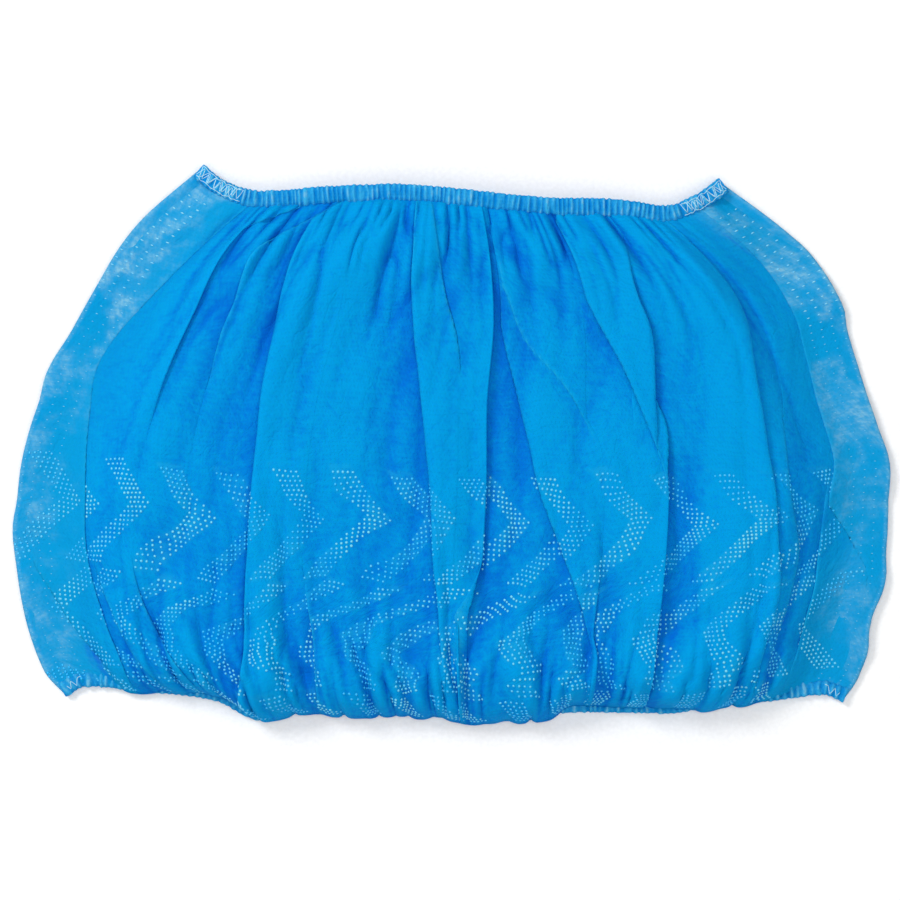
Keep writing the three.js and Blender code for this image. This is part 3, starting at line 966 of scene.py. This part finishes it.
# %% A tree for what sits on the cloth
class ClothTree(Nodes):
    """A Geometry Nodes tree that works on one sheet, with named sizes as its inputs."""

    def __init__(self, name, **sizes):
        super().__init__(bpy.data.node_groups.new(name, "GeometryNodeTree"))
        face = self.tree.interface
        face.new_socket("Sheet", in_out="INPUT", socket_type="NodeSocketGeometry")
        for size in sizes:
            face.new_socket(size.replace("_", " "), in_out="INPUT", socket_type="NodeSocketFloat")
        face.new_socket("Pieces", in_out="OUTPUT", socket_type="NodeSocketGeometry")
        self.sizes = {size.replace("_", " "): value for size, value in sizes.items()}
        self.entry = self.tree.nodes.new("NodeGroupInput")
        self.sheet = self.size("Sheet")

    def size(self, name):
        return Signal(self, self.entry.outputs[name])

    def place_on_cloth(self, points, x, y, side, height, size=1.0):
        """Points moved from flat millimetres to the cloth, its turn there, and each point's size."""
        flat = self.node("ShaderNodeCombineXYZ", {}, {0: x / CUT_WIDTH, 1: y / CUT_WIDTH})
        beyond = self.node("ShaderNodeCombineXYZ", {}, {0: (x + 0.5) / CUT_WIDTH, 1: y / CUT_WIDTH})
        vectors = {"data_type": "FLOAT_VECTOR"}
        uv = self.node("GeometryNodeInputNamedAttribute", vectors, {"Name": "fabric"})
        position, normal = self.node("GeometryNodeInputPosition"), self.node("GeometryNodeInputNormal")

        def sample(value, at, output=0):
            inputs = {"Mesh": self.sheet, "Value": value, "UV Map": uv, "Sample UV": at}
            return self.node("GeometryNodeSampleUVSurface", vectors, inputs, output)

        here = sample(position, flat)
        values = {
            "at": ("VECTOR", here),
            "facing": ("VECTOR", self.scaled(sample(normal, flat), side)),
            "run": ("VECTOR", self.vector("SUBTRACT", sample(position, beyond), here)),
            "valid": ("BOOLEAN", sample(position, flat, "Is Valid")),
            "size": ("FLOAT", size),
        }
        kept = self.node("GeometryNodeCaptureAttribute")
        capture = kept.socket.node
        self.plug(capture, 0, points)
        for name, (kind, value) in values.items():
            capture.capture_items.new(kind, name)
            self.plug(capture, name, value)
        at, facing, run, valid, size = (Signal(self, capture.outputs[name]) for name in values)
        raised = self.vector("ADD", at, self.scaled(facing, height))
        moved = self.node("GeometryNodeSetPosition", {}, {"Geometry": kept, "Position": raised})
        missing = self.node("FunctionNodeBooleanMath", {"operation": "NOT"}, {0: valid})
        moved = self.node("GeometryNodeDeleteGeometry", {}, {"Geometry": moved, "Selection": missing})
        align = "FunctionNodeAlignRotationToVector"
        turn = self.node(align, {"axis": "Z"}, {"Vector": facing})
        turn = self.node(align, {"axis": "X", "pivot_axis": "Z"}, {"Rotation": turn, "Vector": run})
        return moved, turn, size

    def lattice(self, wide, tall):
        """A grid of points, and the number of each one's column and row."""
        sizes = {"Size X": wide - 1.0, "Size Y": tall - 1.0, "Vertices X": wide, "Vertices Y": tall}
        grid = self.node("GeometryNodeMeshGrid", {}, sizes)
        place = self.node("GeometryNodeInputPosition")
        return grid, self.along(place, "X") + (wide - 1) / 2, self.along(place, "Y") + (tall - 1) / 2

    def instances(self, points, shape, turn, scale):
        inputs = {"Points": points, "Instance": shape, "Rotation": turn, "Scale": scale}
        return self.node("GeometryNodeInstanceOnPoints", {}, inputs)

    def random_size(self, low, high, seed=0):
        inputs = {"Min": low, "Max": high, "Seed": seed}
        return self.node("FunctionNodeRandomValue", {"data_type": "FLOAT_VECTOR"}, inputs)

    def finish(self, parts, material):
        """Real geometry with its finish, as the tree's result."""
        joined = self.node("GeometryNodeJoinGeometry")
        for part in parts:
            self.plug(joined.socket.node, 0, part)
        real = self.node("GeometryNodeRealizeInstances", {}, {"Geometry": joined})
        smooth = self.node("GeometryNodeSetShadeSmooth", {}, {"Geometry": real})
        done = self.node("GeometryNodeSetMaterial", {}, {"Geometry": smooth, "Material": material})
        self.tree.links.new(done.socket, self.tree.nodes.new("NodeGroupOutput").inputs[0])

    def make(self, name, surface, **changed):
        """Runs the tree on a sheet's surface, and keeps its result as a plain mesh."""
        made = add_object(name, surface)
        modifier = made.modifiers.new("nodes", "NODES")
        modifier.node_group = self.tree
        values = self.sizes | {size.replace("_", " "): value for size, value in changed.items()}
        for item in self.tree.interface.items_tree:
            if item.in_out == "INPUT" and item.name in values:
                modifier[item.identifier] = values[item.name]
        return plain_mesh(made)


# %% Rows of dots
DOT_HEIGHT = 0.0002  # m above the middle of the cloth
sizes = {"chevron_pitch": CHEVRON_PITCH, "dot_spacing": DOT_SPACING, "row_spacing": ROW_SPACING}
dots = ClothTree("tread dots", dot_diameter=0.82 * MM, side=1.0, seed=4.0, **sizes)
radius = dots.size("dot diameter") / 2
dot = dots.node("GeometryNodeMeshIcoSphere", {}, {"Radius": radius, "Subdivisions": 1})
parts = []
for low, high, tip, toward, start in rows_of(CHEVRONS):
    wide = int(CUT_WIDTH / CHEVRON_PITCH) * DOTS_WIDE
    grid, column, line = dots.lattice(wide, int((high - low) / ROW_SPACING) + 1)
    column = column + 0.01  # so that rounding down is safe
    chevron = (column / DOTS_WIDE).floor()
    within = (column - chevron * DOTS_WIDE).floor()
    y = line * dots.size("row spacing") + low
    x = chevron * dots.size("chevron pitch") + within * dots.size("dot spacing")
    x = x - y.distance(tip) * toward + start
    moved, turn, _ = dots.place_on_cloth(grid, x, y, dots.size("side"), DOT_HEIGHT)
    scale = dots.random_size((0.8, 0.8, 0.35), (1.15, 1.15, 0.5), dots.size("seed"))
    parts.append(dots.instances(moved, dot, turn, scale))
dots.finish(parts, dot_finish)
upper_dots = dots.make("upper_dots", upper_surface)
lower_dots = dots.make("lower_dots", lower_surface, side=-1.0, seed=9.0)

# %% [markdown]
# ## The weld dashes
#
# Each end is welded with a toothed wheel, which leaves four lines of short dashes. The same kind of
# tree prints them: a grid of points along each end's strip, with a small pressed bar at each.

# %% Weld dashes
DASH_HEIGHT = 0.00016  # m above the middle of the cloth
LINES, DASHES = 4, 68
FIRST_LINE, FIRST_DASH = 0.9, 5.5  # mm from the end of the sheet, and from the sole fold
sizes = {"dash_length": 1.3 * MM, "dash_width": 0.45 * MM, "line_spacing": 3.1, "dash_pitch": 2.15}
welds = ClothTree("weld dashes", side=1.0, **sizes)
dash = welds.node("GeometryNodeMeshIcoSphere", {}, {"Radius": 0.5, "Subdivisions": 1})
parts = []
for at_right in (False, True):
    grid, line, step = welds.lattice(LINES, DASHES)
    inward = line * welds.size("line spacing") + FIRST_LINE
    x = CUT_WIDTH - inward if at_right else inward
    y = step * welds.size("dash pitch") + FIRST_DASH
    clear = 0.45 + y.step(105, 128) * 0.55  # the dashes are pressed deeper near the mouth
    moved, turn, clear = welds.place_on_cloth(grid, x, y, welds.size("side"), DASH_HEIGHT, clear)
    bar = {0: welds.size("dash length"), 1: welds.size("dash width"), 2: 0.25 * MM}
    bar = welds.node("ShaderNodeCombineXYZ", {}, bar)
    scale = welds.vector("MULTIPLY", welds.random_size((0.75,) * 3, (1.1,) * 3), bar)
    parts.append(welds.instances(moved, dash, turn, welds.scaled(scale, clear)))
welds.finish(parts, weld_finish)
upper_welds = welds.make("upper_weld_dashes", upper_surface)
lower_welds = welds.make("lower_weld_dashes", lower_surface, side=-1.0)

# %% [markdown]
# ## The thread ends
#
# At both ends of each lip the elastic is sewn down with a white zigzag, and at both ends of the sole
# a little of it shows. Each stitch line is a path in a band's own directions, dropped on to the band
# by a ray from above, and given its thickness by Curve to Mesh.

# %% Threads
LIP_STITCHES = columns(
    "start length across pitch phase shift",
    (0.4, 13.0, 1.5, 2.1, 0.0, 0),
    (0.4, 12.0, 1.5, 1.7, 0.5, 0),
    (0.6, 12.5, 0.15, 3.0, 0.0, -1.7),
    (0.6, 12.5, 0.15, 3.0, 0.0, 1.5),
)
SOLE_STITCHES = columns("start length across pitch phase shift", (2.0, 4.5, 1.1, 1.9, 0.2, 0))
LIP_LENGTH, SOLE_LENGTH = 153, 219  # mm along the mouth and the sole
STITCH_STEP = 0.25  # mm between the points of a stitch line
ABOVE = 20  # mm, a height well over the cover


def stitch_path(middle, edge_length, from_right, start, length, across, pitch, phase, shift):
    """Points of one zigzag over a band, in millimetres."""
    turns = np.arange(0, length, pitch / 2)
    spans = np.arange(0, length, STITCH_STEP)
    swing = np.where(np.arange(len(turns)) % 2 == 0, 1, -1)
    side = np.interp(spans + phase * pitch, turns, swing) * across + shift
    side = side + 0.2 * ripple(spans * 1.4, shift, 77)
    along = (start + spans) / edge_length
    along = 1 - along if from_right else along
    x, y, away_x, away_y = band_line(along, middle)
    return np.stack([x + away_x * side, y + away_y * side, 0 * x + ABOVE], axis=1)


def stitch_lines(name, stitches, middle, edge_length):
    """All stitch lines of one band, as a mesh of edges."""
    points, edges = [], []
    for from_right in (False, True):
        for stitch in rows_of(stitches):
            path = stitch_path(middle, edge_length, from_right, *stitch)
            edges += [(len(points) + k, len(points) + k + 1) for k in range(len(path) - 1)]
            points += (path * MM).tolist()
    mesh = bpy.data.meshes.new(name)
    mesh.from_pydata(points, edges, [])
    return mesh


threads = ClothTree("threads", thread_diameter=0.2 * MM)
band = threads.node("GeometryNodeObjectInfo", {}, {"Object": upper_lip}, "Geometry")
inputs = {"Target Geometry": band, "Ray Direction": (0, 0, -1), "Ray Length": 1.0}
hit = threads.node("GeometryNodeRaycast", {}, inputs, "Hit Position")
is_hit = Signal(threads, hit.socket.node.outputs["Is Hit"])
inputs = {"Geometry": threads.sheet, "Selection": is_hit, "Position": hit}
dropped = threads.node("GeometryNodeSetPosition", {}, inputs)
curve = threads.node("GeometryNodeMeshToCurve", {}, {0: dropped})
inputs = {"Resolution": 5, "Radius": threads.size("thread diameter") / 2}
inputs = {"Profile Curve": threads.node("GeometryNodeCurvePrimitiveCircle", {}, inputs), "Fill Caps": True}
tube = threads.node("GeometryNodeCurveToMesh", {}, {"Curve": curve} | inputs)
threads.finish([tube], thread_finish)
lip_lines = stitch_lines("lip_threads", LIP_STITCHES, 1 - lip_share / 2, LIP_LENGTH)
lip_threads = threads.make("lip_threads", lip_lines)
band.socket.node.inputs["Object"].default_value = sole_band
sole_lines = stitch_lines("sole_threads", SOLE_STITCHES, sole_share / 2, SOLE_LENGTH)
sole_threads = threads.make("sole_threads", sole_lines)

# %% [markdown]
# ## The pieces and the frame
#
# Nothing on the cover is a joint, so every piece rides on the part's one body. Each cloth piece
# stands for a solid of the frame, which stays as the collision shape.

# %% Riding on the frame
body = next(iter(frame["bodies"]))
for piece, nodes, slot in (
    (upper_layer, ["pouch"], "nonwoven_cloth"),
    (lower_layer, ["pouch"], "nonwoven_cloth"),
    (upper_lip, ["upper_opening_elastic"], "opening_casing"),
    (lower_lip, ["lower_opening_elastic"], "opening_casing"),
    (sole_band, ["sole_elastic"], "sole_casing"),
    (upper_dots, [], "tread_dots"),
    (lower_dots, [], "tread_dots"),
    (upper_welds, [], "weld_marks"),
    (lower_welds, [], "weld_marks"),
    (lip_threads, [], "elastic_thread"),
    (sole_threads, [], "elastic_thread"),
):
    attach(piece, body)
    if nodes:
        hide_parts(*nodes)

# %% Sizes
low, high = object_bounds()
print("visual box in mm:", [round(v * 1000, 1) for v in (*low, *high)])
